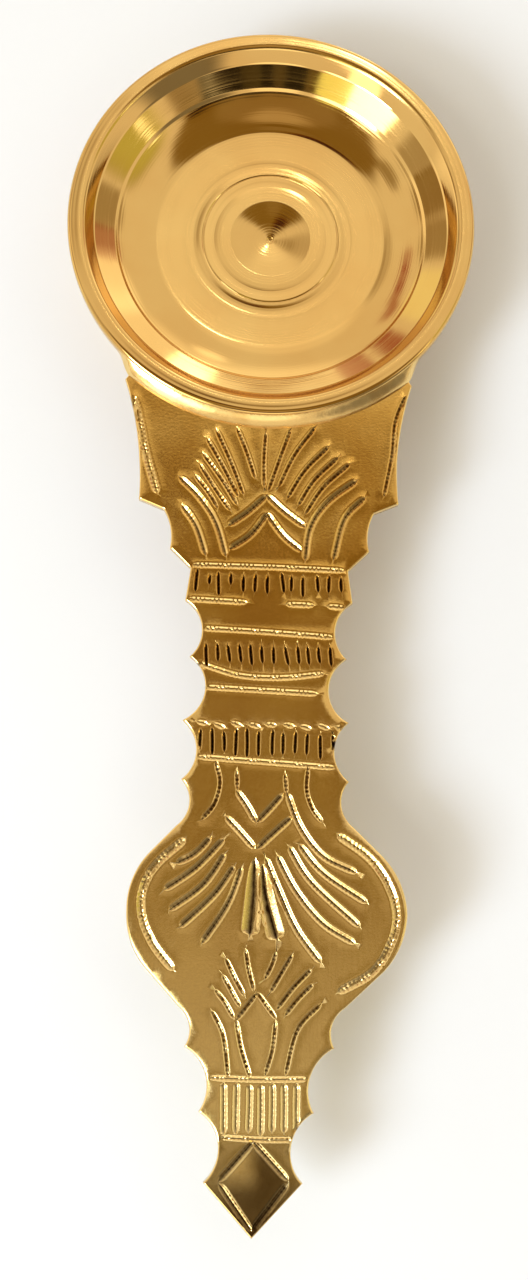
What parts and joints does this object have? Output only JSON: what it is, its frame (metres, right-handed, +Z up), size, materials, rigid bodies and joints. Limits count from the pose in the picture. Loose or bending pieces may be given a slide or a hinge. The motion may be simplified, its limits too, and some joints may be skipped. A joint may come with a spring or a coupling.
{
  "type": "aarti lamp",
  "caption": "Brass aarti lamp: shallow turned oil bowl with a flanged rim on a foot ring, brazed to a flat chased handle with a scalloped edge, a round bulge and a pointed tip.",
  "frame": {"origin": "under the middle of the lamp's length, on the plane that the foot ring stands on", "axes": "+Z up out of the bowl, +Y from the handle's tip towards the bowl, +X to the right of a person who holds the handle"},
  "size_m": [0.07, 0.2012, 0.0165],
  "materials": {
    "turned_brass": "turned and polished, with fine lathe lines",
    "chased_brass": "cast sheet, filed edges, chased V cuts with darker hollows",
    "braze_metal": "brazing brass, dressed smooth"
  },
  "bodies": {
    "root": {"bowl": "turned_brass", "foot_ring": "turned_brass", "handle": "chased_brass", "rim_braze": "braze_metal", "wall_braze": "braze_metal", "foot_braze": "braze_metal"}
  },
  "joints": []
}
